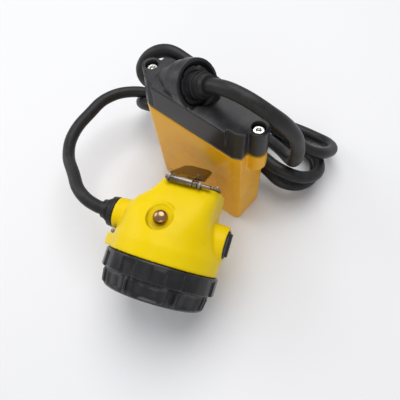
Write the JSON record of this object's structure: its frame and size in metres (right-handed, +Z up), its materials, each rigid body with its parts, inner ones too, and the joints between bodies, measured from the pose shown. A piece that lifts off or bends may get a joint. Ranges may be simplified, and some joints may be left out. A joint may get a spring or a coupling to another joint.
{
  "type": "miner cap lamp",
  "caption": "Corded miner's cap lamp: belt battery with screwed lid and cable gland, stored rubber cable, and lamp head with screw bezel, rotary switch, charging contact and sprung helmet hook.",
  "frame": {"origin": "centre of the battery's underside, on the surface it stands on", "axes": "+Z up, +X along the battery's long side from the gland hood towards the free end of the lid, +Y away from the lamp head"},
  "size_m": [0.1411, 0.1668, 0.0968],
  "materials": {
    "case_yellow": "semi-gloss moulded polycarbonate, amber yellow",
    "lid_black": "semi-gloss black moulded plastic",
    "head_yellow": "glossy moulded plastic, lemon yellow",
    "bezel_black": "semi-gloss black moulded plastic",
    "knob_black": "satin black",
    "rubber": "matt black sheath",
    "gasket_rubber": "matt",
    "steel": "polished stainless",
    "brass": "polished, slightly dull copper-brown",
    "nickel": "nickel plated",
    "insert_brass": "machined",
    "cell_sleeve": "shrink sleeve over steel can",
    "foam": "closed-cell foam",
    "board_green": "solder mask",
    "sink_aluminium": "machined",
    "mirror_film": "metallised",
    "lens_clear": "clear polycarbonate or toughened glass",
    "led_phosphor": "silicone dome over yellow phosphor",
    "switch_grey": "moulded"
  },
  "bodies": {
    "lamp": {"battery_case": "case_yellow", "lid_gasket": "gasket_rubber", "battery_lid": "lid_black", "lid_screw_left": "nickel", "lid_screw_right": "nickel", "lid_insert_left": "insert_brass", "lid_insert_right": "insert_brass", "cell_pad": "foam", "cell_1": "cell_sleeve", "cell_2": "cell_sleeve", "cell_3": "cell_sleeve", "cell_strap": "nickel", "protection_board": "board_green", "gland_nut": "lid_black", "battery_boot": "rubber", "cable_battery_strand": "rubber", "cable_back_strand": "rubber", "cable_hank": "rubber", "cable_head_strand": "rubber", "head_housing": "head_yellow", "head_boot": "rubber", "lock_screw": "steel", "reflector": "mirror_film", "main_led": "led_phosphor", "led_board": "board_green", "heat_sink": "sink_aluminium", "driver_board": "board_green", "switch_seal": "rubber", "switch_body": "switch_grey", "charging_contact": "brass", "contact_nut": "insert_brass", "hook_bracket": "steel", "hook_pin": "steel", "hook_spring": "steel", "hook_catch": "steel", "hook_screw_1": "steel", "hook_screw_2": "steel"},
    "lens_pack": {"lens": "lens_clear", "lens_gasket": "gasket_rubber"},
    "bezel": {"bezel_ring": "bezel_black"},
    "knob": {"switch_knob": "knob_black"},
    "tongue": {"hook_tongue": "steel"}
  },
  "joints": [
    {"name": "bezel_advance", "type": "slide", "parent": "lamp", "child": "lens_pack", "axis": [0.3368, -0.8773, -0.342], "range_m": [0, 0.005]},
    {"name": "bezel_turn", "type": "hinge", "parent": "lens_pack", "child": "bezel", "pos_m": [0.02953, -0.0744, 0.02782], "axis": [0.3368, -0.8773, -0.342], "range_deg": [0, 720]},
    {"name": "switch_turn", "type": "hinge", "parent": "lamp", "child": "knob", "pos_m": [0.04749, -0.04083, 0.03689], "axis": [0.9336, 0.3584, 0], "range_deg": [-60, 60]},
    {"name": "hook_press", "type": "hinge", "parent": "lamp", "child": "tongue", "pos_m": [0.01616, -0.03427, 0.05852], "axis": [0.9336, 0.3584, 0], "range_deg": [-20, 0], "stiffness_Nm_per_rad": 0.05, "springref_deg": 5.73}
  ],
  "couplings": [
    {"joint": "bezel_advance", "follows": "bezel_turn", "m_per_rad": 0.00039789}
  ]
}
